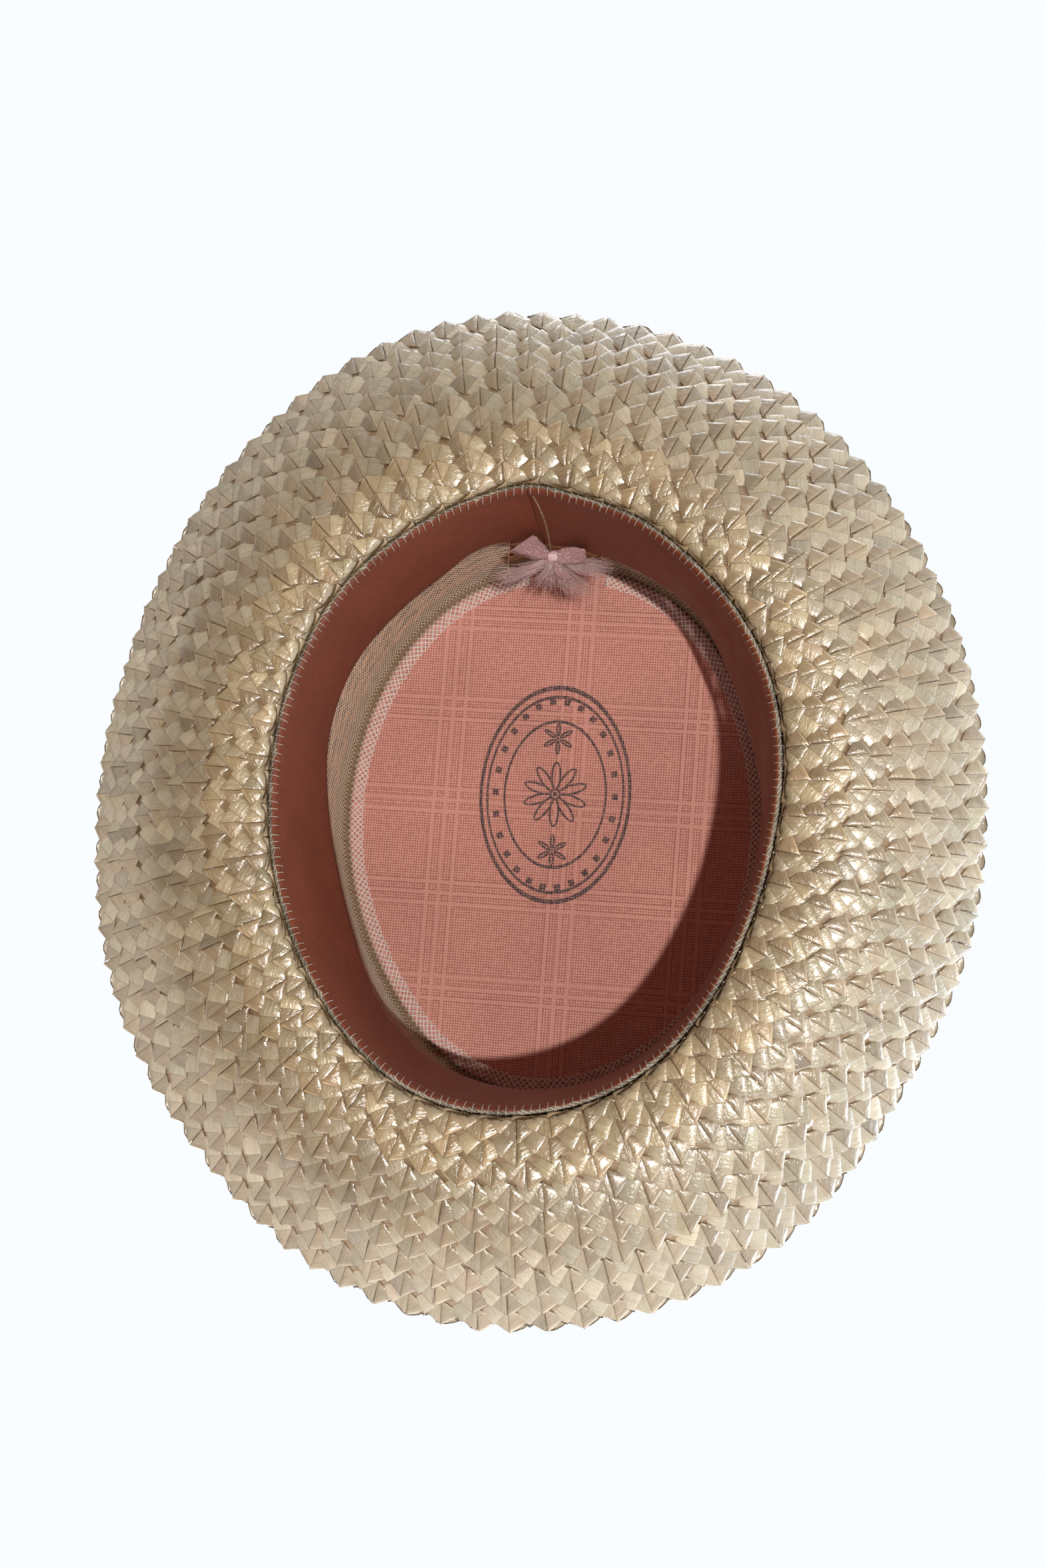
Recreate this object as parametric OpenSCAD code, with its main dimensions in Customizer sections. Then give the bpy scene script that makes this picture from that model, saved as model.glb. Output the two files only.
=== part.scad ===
// Sewn straw-braid hat with an upturned brim, resting crown up.
// The plan is an oval: every ring of the hat is the head oval grown or
// shrunk by an offset. Front is -Y, the back is +Y, wearer's left is +X.

/* [Head oval] */
// Width of the head opening at the stitched edge
head_w = 164; // [150:0.5:180]
// Length of the head opening at the stitched edge
head_l = 202; // [188:0.5:220]

/* [Crown] */
// Height of the lining above the stitched edge
crown_depth = 92; // [80:1:110]
// How far the wall leans in between the stitched edge and the tip
wall_lean = 3.2; // [2:0.2:10]
// Radius of the shoulder between the wall and the tip
shoulder_r = 5; // [3:0.5:12]

/* [Brim] */
// Width of the brim in plan, from the stitched edge to the points
brim_w = 70; // [55:1:80]
// Height of the brim edge above the resting ring
brim_rise = 24; // [10:1:30]
// How suddenly the brim curls up near its edge
brim_curl = 1.8; // [1.3:0.1:2.4]
// Distance from the stitched edge to the resting ring
break_offset = 8; // [6:0.5:10]
// Width of the flat resting ring
rest_w = 5; // [4:0.5:7]
// Height of the stitched edge above the resting ring
edge_lift = 2.5; // [2:0.1:4]

/* [Braid] */
// Thickness of the sewn braid
braid_t = 2.2; // [1.8:0.1:3]
// Width of one braid row
braid_row = 7.2; // [6:0.2:9]
// Step where one row laps the next
lap_step = 0.7; // [0.4:0.1:1]
// Distance from one braid point to the next round the edge
point_pitch = 11.7; // [9:0.1:14]

/* [Sweatband] */
// Height of the sweatband
band_h = 45; // [35:1:55]
// Thickness of the sweatband
band_t = 0.9; // [0.8:0.1:1.5]
// How far the free edge of the sweatband springs in
band_lean = 6.8; // [4:0.2:9]
// Diameter of the reed in the stitched edge
reed_d = 2; // [1.5:0.1:2.5]
// Distance between the stitches over the reed
stitch_pitch = 2.7; // [2.4:0.1:4]

/* [Lining] */
// Thickness of the tip lining
lining_t = 0.6; // [0.5:0.1:1]
// Thickness of the net
net_t = 0.5; // [0.4:0.1:0.6]
// Width of the net edging that laps the lining
net_edging_w = 6.5; // [5:0.5:9]
// Half width of the gap between the net's ends at the back, in degrees
net_gap = 11; // [10:1:18]
// Width of the printed oval on the lining
print_w = 57; // [40:1:70]
// Length of the printed oval on the lining
print_l = 82; // [60:1:95]
// Distance of the print behind the middle of the lining
print_back = 11; // [0:1:15]

/* [Bows] */
// Width of the ribbon of the small inside bow
ribbon_w = 7; // [5:0.5:8]
// Reach of each loop of the small inside bow
loop_reach = 12; // [10:0.5:14]
// Height of the outside hatband
hatband_h = 34; // [25:1:40]
// Thickness of the outside hatband
hatband_t = 0.8; // [0.7:0.1:1]
// Length of each loop of the outside bow
hatbow_loop = 34; // [26:1:40]

/* [Hidden] */

// Facets round a full oval
oval_n = 48;
// Clearance between neighbouring pieces
gap = 0.12;
half_w = head_w / 2;
half_l = head_l / 2;
straw = [0.86, 0.78, 0.6];
straw_deep = [0.8, 0.7, 0.5];
rust = [0.47, 0.22, 0.17];
net_cream = [0.86, 0.78, 0.68];
salmon = [0.86, 0.56, 0.45];
pink = [0.83, 0.64, 0.62];

// Heights
band_z0 = edge_lift + reed_d / 2;
lining_z = edge_lift + crown_depth;
tip_z = lining_z + lining_t + gap;
side_z0 = 9;
side_z1 = tip_z - shoulder_r;
// Plan offsets of the wall's inner face from the head oval
wall_foot = 1.8;
brim_in = break_offset + rest_w;
edge_in = brim_w - braid_row * 0.8;
tip_edge = wall_offset(side_z1) - shoulder_r;
tip_rows = floor((half_w + tip_edge) / braid_row);
side_rows = round((side_z1 - side_z0) / braid_row);
brim_rows = round((edge_in - brim_in) / (braid_row * 0.95));
point_count = round(PI * (half_w + half_l + 2 * brim_w) / point_pitch);
stitch_count = round(PI * (half_w + half_l) / stitch_pitch);

// Middle of the small bow, at the free edge of the sweatband
bow_x = -3;
bow_y = half_l - band_lean - 4.3;
bow_z = band_z0 + band_h - 1.5;
bow_t = 0.3;
tail_t = 0.35;
thread_r = 0.35;

// Foot of the hatband and the bow on it
hatband_z0 = side_z0 + 1;
hatbow_z = hatband_z0 + hatband_h / 2;

// ---- geometry helpers ----

// A point of the oval grown by off, at angle t and height z
function oval_pt(off, z, t) = [(half_w + off) * cos(t), (half_l + off) * sin(t), z];

// Offset of the wall's inner face at height z
function wall_offset(z) = wall_foot - wall_lean * (z - side_z0) / (lining_z - side_z0);

// Height of the underside of the brim at plan offset d
function brim_under(d) = brim_rise * pow(max(0, d - brim_in) / (brim_w - brim_in), brim_curl);

// Both triangles of a quad
function quad(p, q, r, s) = [[p, q, r], [p, r, s]];

// A closed profile of [offset, height] points swept round the whole oval
module oval_ring(profile, n = oval_n) {
    m = len(profile);
    points = [for (i = [0:n - 1]) for (p = profile) oval_pt(p[0], p[1], 360 * i / n)];
    faces = [
        for (i = [0:n - 1]) for (j = [0:m - 1])
            let (a = i * m, b = ((i + 1) % n) * m, k = (j + 1) % m)
            for (f = quad(a + j, a + k, b + k, b + j)) f
    ];
    polyhedron(points, faces, convexity = 6);
}

// The same profile swept from angle t0 to t1, with flat ends
module oval_arc(profile, t0, t1, n = oval_n) {
    m = len(profile);
    points = [
        for (i = [0:n]) for (p = profile) oval_pt(p[0], p[1], t0 + (t1 - t0) * i / n)
    ];
    sides = [
        for (i = [0:n - 1]) for (j = [0:m - 1])
            let (a = i * m, b = (i + 1) * m, k = (j + 1) % m)
            for (f = quad(a + j, a + k, b + k, b + j)) f
    ];
    start_cap = [[for (j = [m - 1:-1:0]) j]];
    end_cap = [[for (j = [0:m - 1]) n * m + j]];
    polyhedron(points, concat(sides, start_cap, end_cap), convexity = 6);
}

// A flat oval of offset off
module oval_2d(off) {
    polygon([for (i = [0:2 * oval_n - 1]) [
        (half_w + off) * cos(180 * i / oval_n), (half_l + off) * sin(180 * i / oval_n)
    ]]);
}

// A tube through a list of points, each ring square to the path
module tube(path, r, sides = 8) {
    n = len(path);
    function dir(i) =
        let (d = path[min(i + 1, n - 1)] - path[max(i - 1, 0)]) d / norm(d);
    function side_of(d) = let (s = cross(d, [1, 0.2, 0.1])) s / norm(s);
    points = [
        for (i = [0:n - 1])
            let (d = dir(i), u = side_of(d), v = cross(d, u))
            for (k = [0:sides - 1])
                path[i] + r * (cos(360 * k / sides) * u + sin(360 * k / sides) * v)
    ];
    walls = [
        for (i = [0:n - 2]) for (k = [0:sides - 1])
            let (a = i * sides, b = a + sides, q = (k + 1) % sides)
            for (f = quad(a + k, b + k, b + q, a + q)) f
    ];
    start_cap = [[for (k = [0:sides - 1]) k]];
    end_cap = [[for (k = [sides - 1:-1:0]) (n - 1) * sides + k]];
    polyhedron(points, concat(walls, start_cap, end_cap), convexity = 6);
}

// A ribbon of the given width and thickness bent along a flat path of
// [along, out] points; the width runs along Z
module bent_ribbon(path, width, thick) {
    n = len(path);
    function dir(i) =
        let (d = path[min(i + 1, n - 1)] - path[max(i - 1, 0)]) d / norm(d);
    outer = [for (i = [0:n - 1]) path[i] + thick / 2 * [-dir(i)[1], dir(i)[0]]];
    inner = [for (i = [n - 1:-1:0]) path[i] - thick / 2 * [-dir(i)[1], dir(i)[0]]];
    linear_extrude(width, center = true) polygon(concat(outer, inner));
}

// ---- straw ----

// Every row laps the next by one step, so both faces are stepped
module tip_braid() {
    row = (half_w + tip_edge - 2) / tip_rows;
    under = [
        for (i = [0:tip_rows - 1])
            let (d = tip_edge - i * row)
            each [[d, tip_z + lap_step * 0.4], [d - row, tip_z]]
    ];
    upper = [
        for (i = [tip_rows - 1:-1:0])
            let (d = tip_edge - i * row)
            each [[d - row, tip_z + braid_t - lap_step], [d, tip_z + braid_t]]
    ];
    color(straw) oval_ring(concat(under, upper));
}

module side_braid() {
    row = (side_z1 - side_z0) / side_rows;
    inside = [
        for (i = [0:side_rows - 1])
            let (z = side_z0 + i * row)
            each [
                [wall_offset(z) + (i == 0 ? 0 : lap_step * 0.4), z],
                [wall_offset(z + row), z + row]
            ]
    ];
    shoulder_in = [
        for (t = [30:30:90])
            [wall_offset(side_z1) - shoulder_r * (1 - cos(t)), side_z1 + shoulder_r * sin(t)]
    ];
    shoulder_out = [
        for (t = [90:-30:0])
            let (r = shoulder_r + braid_t)
            [wall_offset(side_z1) - shoulder_r + r * cos(t) + (t == 90 ? gap : 0),
             side_z1 + r * sin(t)]
    ];
    outside = [
        for (i = [side_rows - 1:-1:0])
            let (z = side_z0 + i * row)
            each [
                [wall_offset(z + row) + braid_t - lap_step, z + row - gap],
                [wall_offset(z) + braid_t, z]
            ]
    ];
    shift = [for (p = shoulder_in) p[0] > tip_edge + gap ? p : [tip_edge + gap, p[1]]];
    color(straw) oval_ring(concat(inside, shift, shoulder_out, outside));
}

// The row that rolls from the wall down to the resting ring
module roll_row() {
    drop = side_z0 - gap;
    reach = break_offset - wall_foot - gap;
    under = [
        for (t = [0:22.5:90])
            [wall_foot + reach * (1 - cos(t)), drop * (1 - sin(t)) + gap * sin(t)]
    ];
    upper = [
        for (t = [90:-22.5:0])
            [wall_foot + braid_t + (reach - braid_t) * (1 - cos(t)),
             (drop - braid_t) * (1 - sin(t)) + braid_t]
    ];
    color(straw_deep) oval_ring(concat(under, upper));
}

// The row that the hat stands on, flat underneath
module rest_row() {
    color(straw_deep) linear_extrude(braid_t) difference() {
        oval_2d(brim_in);
        oval_2d(break_offset);
    }
}

module brim_braid() {
    d0 = brim_in + gap;
    row = (edge_in - gap - d0) / brim_rows;
    under = [
        for (i = [0:brim_rows - 1])
            let (d = d0 + i * row)
            each [
                [d, brim_under(d) + (i == 0 ? 0 : lap_step)],
                [d + row, brim_under(d + row)]
            ]
    ];
    upper = [
        for (i = [brim_rows - 1:-1:0])
            let (d = d0 + i * row)
            each [
                [d + row, brim_under(d + row) + braid_t + (i == brim_rows - 1 ? 0 : lap_step)],
                [d, brim_under(d) + braid_t + lap_step]
            ]
    ];
    color(straw) oval_ring(concat(under, upper));
}

// The last row, whose braid points make the edge
module brim_edge_row() {
    n = 2 * point_count;
    function tip(i) = i % 2 == 0 ? brim_w : brim_w - braid_row * 0.35;
    points = [
        for (i = [0:n - 1])
            let (t = 360 * i / n)
            each [
                oval_pt(edge_in, brim_under(edge_in), t),
                oval_pt(tip(i), brim_under(tip(i)), t),
                oval_pt(edge_in, brim_under(edge_in) + braid_t, t)
            ]
    ];
    faces = [
        for (i = [0:n - 1]) for (j = [0:2])
            let (a = i * 3, b = ((i + 1) % n) * 3, k = (j + 1) % 3)
            for (f = quad(a + j, a + k, b + k, b + j)) f
    ];
    color(straw_deep) polyhedron(points, faces, convexity = 6);
}

// ---- sweatband ----

// A leather strip whose ends meet at the back
module sweatband() {
    z0 = band_z0 + gap;
    z1 = band_z0 + band_h;
    face = [for (k = [0:3]) [-band_lean * pow(k / 3, 1.2), z0 + (z1 - z0) * k / 3]];
    back = [for (k = [3:-1:0]) [-band_lean * pow(k / 3, 1.2) + band_t, z0 + (z1 - z0) * k / 3]];
    color(rust) oval_arc(concat(face, back), 90.15, 449.85);
}

module sweatband_reed() {
    r = reed_d / 2;
    section = [for (k = [0:7]) [r * cos(45 * k) + r * 0.4, band_z0 - r - 0.05 + r * sin(45 * k)]];
    color(rust) oval_ring(section);
}

// One short stitch over the reed, repeated round the opening
module reed_whipstitch() {
    stitch_r = 0.3;
    off = reed_d * 0.2 - reed_d / 2 - stitch_r;
    color([0.8, 0.78, 0.72])
        for (i = [0:stitch_count - 1]) {
            t = 360 * (i + 0.5) / stitch_count;
            translate(oval_pt(off, band_z0 - reed_d * 0.9, t))
                cylinder(h = reed_d * 0.8, r = stitch_r, $fn = 16);
        }
}

// ---- lining ----

// Net that hangs from the tip down behind the sweatband, open at the back
module net_side_band() {
    z0 = band_z0 + band_h - 8;
    z1 = lining_z - net_t - gap;
    out0 = wall_offset(z0) - gap;
    out1 = wall_offset(side_z1) - gap;
    profile = [
        [out0, z0], [out1, side_z1], [out1 - shoulder_r * 0.3, z1],
        [out1 - shoulder_r * 0.3 - net_t, z1], [out1 - net_t, side_z1], [out0 - net_t, z0]
    ];
    color(net_cream) oval_arc(profile, 90 + net_gap, 450 - net_gap, n = 40);
}

// Open net edging that laps the rim of the lining
module net_edging() {
    out = wall_offset(side_z1) - gap - shoulder_r * 0.3 - net_t - gap;
    color("white") translate([0, 0, lining_z - net_t - gap]) linear_extrude(net_t) difference() {
        oval_2d(out);
        oval_2d(out - net_edging_w);
        polygon([[0, 60], [head_l * tan(net_gap * 0.7), head_l], [-head_l * tan(net_gap * 0.7), head_l]]);
    }
}

module tip_lining() {
    color(salmon) translate([0, 0, lining_z]) linear_extrude(lining_t)
        oval_2d(wall_offset(side_z1) - shoulder_r * 0.6);
}

// Oval lines, a ring of diamonds and three rosettes, printed on the lining
module lining_print() {
    ink_t = 0.1;
    line = 1.2;
    fine_line = 0.8;
    border = 2.6;
    diamonds = 26;
    diamond = 2.3;
    print_turn = 2;
    module oval_line(inset, width) {
        scale([1, print_l / print_w]) difference() {
            circle(d = print_w - 2 * inset, $fn = 64);
            circle(d = print_w - 2 * inset - 2 * width, $fn = 64);
        }
    }
    module petal(length, inset = 0) {
        translate([0, length * 0.62]) scale([length * 0.36 - 2 * inset, length - 2 * inset])
            circle(d = 1, $fn = 20);
    }
    module rosette(petals, length) {
        for (i = [0:petals - 1]) rotate(360 * i / petals) difference() {
            petal(length);
            petal(length, fine_line);
        }
        circle(d = length * 0.16, $fn = 16);
    }
    color([0.25, 0.23, 0.22])
        translate([0, print_back, lining_z - ink_t - 0.02]) rotate(print_turn)
            linear_extrude(ink_t) {
                oval_line(0, line);
                oval_line(border, fine_line);
                oval_line(border + 6.5, fine_line);
                for (i = [0:diamonds - 1])
                    let (t = 360 * i / diamonds, in = border + 3.5)
                        translate([(print_w / 2 - in) * cos(t), (print_l / 2 - in) * sin(t)])
                            rotate(t) square(diamond, center = true);
                rosette(10, 11);
                for (side = [-1, 1]) translate([0, side * 21]) rosette(6, 5.5);
            }
}

// ---- inside bow, tied at the free edge of the sweatband ----

// One teardrop loop lying against the sweatband, side is +1 or -1
module bow_loop(side) {
    steps = 10;
    path = [
        for (k = [0:steps])
            let (t = 52 + 256 * k / steps)
            [side * (1 + loop_reach * (1 - cos(t)) / 2), 2.2 * sin(t) * (1 - cos(t)) / 2]
    ];
    color(pink) translate([bow_x, bow_y, bow_z]) bent_ribbon(path, ribbon_w * 0.8, bow_t);
}

module bow_loop_left() {
    bow_loop(1);
}

module bow_loop_right() {
    bow_loop(-1);
}

module bow_knot() {
    color(pink) translate([bow_x, bow_y, bow_z]) rotate([90, 0, 0])
        cylinder(h = 3.6, d = 4, center = true, $fn = 24);
}

// A tail that hangs from the knot to just under the lining
module bow_tail(side) {
    drop = 15 + 3 * side;
    reach = 26;
    path = [
        for (k = [0:6])
            let (u = k / 6)
            [side * (1 + 12 * u), -2.2 - drop * u, reach * pow(u, 1.1)]
    ];
    width = ribbon_w / 2;
    points = [
        for (k = [0:6])
            let (w = width * (0.35 + 0.65 * k / 6))
            each [
                path[k] + [-w, 0, -0.6], path[k] + [w, 0, 0.6],
                path[k] + [w, -tail_t, 0.6], path[k] + [-w, -tail_t, -0.6]
            ]
    ];
    walls = [
        for (i = [0:5]) for (j = [0:3])
            let (a = i * 4, b = a + 4, k = (j + 1) % 4)
            for (f = quad(a + j, b + j, b + k, a + k)) f
    ];
    color(pink) translate([bow_x, bow_y, bow_z])
        polyhedron(points, concat(walls, [[0, 1, 2, 3]], [[27, 26, 25, 24]]), convexity = 4);
}

module bow_tail_left() {
    bow_tail(1);
}

module bow_tail_right() {
    bow_tail(-1);
}

// The twisted thread from the stitched edge to the knot
module bow_thread() {
    y0 = half_l - 1.4;
    color([0.2, 0.14, 0.1]) tube([
        for (k = [0:10])
            let (u = k / 10)
            [bow_x * u + 1.5 * sin(180 * u) - 0.5, y0 + (bow_y + 0.6 - y0) * pow(u, 1.25) - 0.5 * sin(180 * u),
             edge_lift + 1.2 + (bow_z - 2.3 - edge_lift - 1.2) * u]
    ], thread_r);
}

// ---- outside trim ----

function trim_offset(z) = wall_offset(z) + braid_t + gap;

// Grosgrain ribbon round the foot of the crown
module hatband() {
    z1 = hatband_z0 + hatband_h;
    foot = trim_offset(hatband_z0);
    profile = [
        [foot, hatband_z0], [foot + hatband_t, hatband_z0],
        [trim_offset(z1) + hatband_t, z1], [trim_offset(z1), z1]
    ];
    color(rust) oval_ring(profile);
}

// Two flat loops, one in front of the knot and one behind it
module hatband_bow() {
    stand_off = 3;
    x = half_w + trim_offset(hatbow_z) + hatband_t + stand_off;
    color(rust) for (side = [-1, 1]) {
        path = [
            for (k = [0:12])
                let (t = 12 + 336 * k / 12)
                [side * (4 + (hatbow_loop - 4) * (1 - cos(t)) / 2),
                 2 * sin(t) - 3.5 * pow((1 - cos(t)) / 2, 2)]
        ];
        translate([x, 0, hatbow_z]) rotate([0, 0, 90]) mirror([0, 1, 0])
            bent_ribbon(path, hatband_h * 0.86, 0.7);
    }
}

module hatband_bow_knot() {
    knot = [5, 6.4, hatband_h * 0.8];
    x = half_w + trim_offset(hatbow_z) + hatband_t + gap;
    color(rust) translate([x + 0.1 + knot[0] / 2, 0, hatbow_z]) cube(knot, center = true);
}

tip_braid();
side_braid();
roll_row();
rest_row();
brim_braid();
brim_edge_row();
sweatband();
sweatband_reed();
reed_whipstitch();
net_side_band();
net_edging();
tip_lining();
lining_print();
bow_loop_left();
bow_loop_right();
bow_knot();
bow_tail_left();
bow_tail_right();
bow_thread();
hatband();
hatband_bow();
hatband_bow_knot();
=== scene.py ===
import math

import bpy
import numpy as np
from mathutils import Matrix, Vector

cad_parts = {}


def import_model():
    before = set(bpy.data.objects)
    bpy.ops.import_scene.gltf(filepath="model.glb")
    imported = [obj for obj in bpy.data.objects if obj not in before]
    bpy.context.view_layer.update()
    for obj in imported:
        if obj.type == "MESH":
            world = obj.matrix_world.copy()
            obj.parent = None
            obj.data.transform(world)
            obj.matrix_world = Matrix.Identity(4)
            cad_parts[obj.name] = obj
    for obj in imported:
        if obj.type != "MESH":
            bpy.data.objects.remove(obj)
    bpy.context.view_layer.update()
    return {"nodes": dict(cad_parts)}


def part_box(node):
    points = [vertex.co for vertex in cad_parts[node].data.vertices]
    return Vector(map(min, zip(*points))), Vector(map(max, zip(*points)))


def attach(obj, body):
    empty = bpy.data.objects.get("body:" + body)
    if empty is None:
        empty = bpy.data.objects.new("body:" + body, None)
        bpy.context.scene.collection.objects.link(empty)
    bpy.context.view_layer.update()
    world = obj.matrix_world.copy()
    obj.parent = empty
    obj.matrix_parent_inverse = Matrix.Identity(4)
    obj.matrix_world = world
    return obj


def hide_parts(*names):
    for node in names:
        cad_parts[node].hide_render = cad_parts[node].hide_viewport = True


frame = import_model()

# -------- sizes, in millimetres
# All lengths below are millimetres in the row frame. The head oval comes from the
# frame; every ring of the hat is that oval grown or shrunk by an offset.
MM = 0.001


def box_mm(node):
    """Lowest and highest corner of a node, in millimetres."""
    return [np.array(corner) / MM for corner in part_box(node)]


REST_OUT = 13.0  # offset of the resting ring's outer edge
HALF_W, HALF_L = box_mm("rest_row")[1][:2] - REST_OUT
BRIM_W = box_mm("brim_edge_row")[1][0] - HALF_W
LINING_Z = box_mm("tip_lining")[0][2]
BAND_TOP = box_mm("sweatband")[1][2]

BRIM_RISE = 24.0
BRIM_CURL = 1.8  # above 1, the brim turns up mostly near its edge
ROLL_OUT = 9.0  # offset where the brim starts to roll up into the crown
ROLL_IN, ROLL_UP = 0.4, 2.2  # the roll goes in early and up late
WALL_FOOT = 1.8  # offset of the crown wall's inner face at its foot
WALL_FOOT_Z = 9.0
WALL_LEAN = 3.2
SHOULDER_R = 5.0
TIP_GAP = 0.7  # height of the tip's inner face over the lining
TIP_END = 0.3  # half width of the closed seam in the middle of the tip

BRAID_HALF_T = 1.4
ROW = 7.2  # visible width of one braid row
POINT = 11.3  # distance between the braid's points
BRAID_W = 10.6  # full width of the braid, laps included
SHINGLE = 0.55  # height of the points above the row that they lap
SEED = 7


def wall_offset(z):
    """Offset of the crown wall's inner face at height z."""
    return WALL_FOOT - WALL_LEAN * (z - WALL_FOOT_Z) / (LINING_Z - WALL_FOOT_Z)


# -------- the hat's surface


class Oval:
    """The head oval grown by an offset. run is the length along it from the back."""

    def __init__(self, offset):
        a, b = HALF_W + offset, HALF_L + offset
        self.t = np.linspace(0, 2 * np.pi, 1441) + np.pi / 2
        step = np.hypot(a * np.sin(self.t), b * np.cos(self.t))
        self.run = np.concatenate([[0], np.cumsum((step[1:] + step[:-1]) / 2 * np.diff(self.t))])
        self.length = self.run[-1]

    def angle(self, run):
        return np.interp(np.mod(run, self.length), self.run, self.t)


def bump_at(t, centre_degrees, half_degrees):
    """A smooth hump from 0 to 1 round the oval, centred on an angle from +X."""
    off = np.degrees(np.angle(np.exp(1j * (t - math.radians(centre_degrees)))))
    return np.cos(np.clip(off / half_degrees, -1, 1) * np.pi / 2) ** 2


def waves(bumps, t):
    return sum(size * bump_at(t, centre, half) for centre, half, size in bumps)


# Where the hat is out of true: angle from +X, half width in degrees, millimetres outward
BRIM_WAVES = (
    (285, 48, 4.6), (240, 34, 2.2), (335, 26, 3.0), (70, 32, 2.6), (20, 24, -1.8), (215, 24, -2.0)
)
OPENING_WAVES = (
    (158, 35, 3.2), (65, 30, -1.9), (295, 35, 1.8), (210, 35, -1.7), (90, 12, 0.9), (105, 15, -0.9)
)
TIP_WAVES = ((125, 40, 2.0), (283, 42, 3.0), (330, 30, -0.8))
OPENING_REACH = (28, 45)  # how far out and up the opening's waves die away
TIP_REACH = (30, 10)  # the tip's waves start at this height and are full this far below it


def on_hat(offset, height, t):
    """Points in millimetres and the plan's outward normal, for arrays of equal shape."""
    out, up = OPENING_REACH
    near = np.exp(-((offset / out) ** 2) - (height / up) ** 2)
    start, short = TIP_REACH
    rise = np.clip((height - start) / (LINING_Z - short - start), 0, 1)
    high = rise * rise * (3 - 2 * rise) * np.clip(1 + offset / HALF_W, 0, 1)
    offset = offset + waves(OPENING_WAVES, t) * near + waves(TIP_WAVES, t) * high
    a, b = HALF_W + offset, HALF_L + offset
    point = np.stack([a * np.cos(t), b * np.sin(t), height], -1)
    nx, ny = b * np.cos(t), a * np.sin(t)
    size = np.hypot(nx, ny)
    return point, np.stack([nx / size, ny / size, np.zeros_like(nx)], -1)


class Meridian:
    """The braid's middle surface in section, from the brim's edge in to the tip.
    s is the length from the edge. The normal points to the underside and inside."""

    def __init__(self):
        d = np.linspace(BRIM_W, REST_OUT, 60)
        brim = np.stack([d, BRIM_RISE * ((d - REST_OUT) / (BRIM_W - REST_OUT)) ** BRIM_CURL], -1)
        q = np.linspace(0, np.pi / 2, 20)
        roll_d = ROLL_OUT - (ROLL_OUT - WALL_FOOT) * np.sin(q) ** ROLL_IN
        roll = np.stack([roll_d, WALL_FOOT_Z * (1 - np.cos(q)) ** ROLL_UP], -1)
        top = LINING_Z + TIP_GAP
        z = np.linspace(WALL_FOOT_Z, top - SHOULDER_R, 40)[1:]
        wall = np.stack([wall_offset(z), z], -1)
        rim = wall_offset(top - SHOULDER_R) - SHOULDER_R
        turn = SHOULDER_R * np.stack([np.cos(q), np.sin(q) - 1], -1)
        shoulder = (turn + (rim, top))[1:]
        tip_d = np.linspace(rim, TIP_END - HALF_W, 40)[1:]
        tip = np.stack([tip_d, np.full_like(tip_d, top)], -1)
        path = np.concatenate([brim, roll, wall, shoulder, tip])
        step = np.hypot(*np.diff(path, axis=0).T)
        self.s = np.concatenate([[0], np.cumsum(step)])
        tangent = np.gradient(path, self.s, axis=0)
        tangent /= np.linalg.norm(tangent, axis=1)[:, None]
        self.normal = np.stack([-tangent[:, 1], tangent[:, 0]], -1)
        self.path = path - BRAID_HALF_T * self.normal
        self.foot_s = self.s[len(brim) + len(roll) - 1]
        self.shoulder_s = self.s[len(brim) + len(roll) + len(wall) - 1]
        self.end = self.s[-1]

    def at(self, s):
        values = [np.interp(s, self.s, c) for c in (*self.path.T, *self.normal.T)]
        size = np.hypot(values[2], values[3])
        return values[0], values[1], values[2] / size, values[3] / size


MERIDIAN = Meridian()


def on_braid(s, t):
    """Points of the braid's middle surface and its normal, for length s and angle t."""
    offset, height, n_off, n_up = MERIDIAN.at(s)
    out = np.clip((offset - REST_OUT) / (BRIM_W - REST_OUT), 0, 1)
    point, plan_normal = on_hat(offset + out * waves(BRIM_WAVES, t), height, t)
    normal = plan_normal * n_off[..., None]
    normal[..., 2] += n_up
    return point, normal


def place(s, run, ring, lift):
    """Points lift millimetres off the braid's middle surface, on its inner side."""
    point, normal = on_braid(s, ring.angle(run))
    return point + normal * lift[..., None]


# -------- mesh helpers


def link(thing):
    bpy.context.scene.collection.objects.link(thing)


def add_piece(name, nodes, points, faces, material, maps=None, tone=None):
    """A smooth piece in place of some nodes, from millimetre points and quads. maps gives
    a pair of numbers per point for each map name, and tone a colour per face."""
    mesh = bpy.data.meshes.new(name)
    faces = np.asarray(faces)
    mesh.vertices.add(len(points))
    mesh.vertices.foreach_set("co", (np.asarray(points, dtype=np.float64) * MM).ravel())
    mesh.loops.add(faces.size)
    mesh.loops.foreach_set("vertex_index", faces.ravel())
    mesh.polygons.add(len(faces))
    mesh.polygons.foreach_set("loop_start", np.arange(len(faces)) * faces.shape[1])
    mesh.update(calc_edges=True)
    mesh.polygons.foreach_set("use_smooth", [True] * len(mesh.polygons))
    for map_name, values in (maps or {}).items():
        layer = mesh.uv_layers.new(name=map_name)
        layer.data.foreach_set("uv", np.asarray(values, dtype=np.float32)[faces].ravel())
    if tone is not None:
        layer = mesh.attributes.new("tone", "FLOAT_COLOR", "FACE")
        layer.data.foreach_set("color", np.asarray(tone, dtype=np.float32).ravel())
    mesh.materials.append(material)
    piece = bpy.data.objects.new(name, mesh)
    link(piece)
    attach(piece, "root")
    if nodes:
        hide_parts(*nodes)
    return piece


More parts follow.
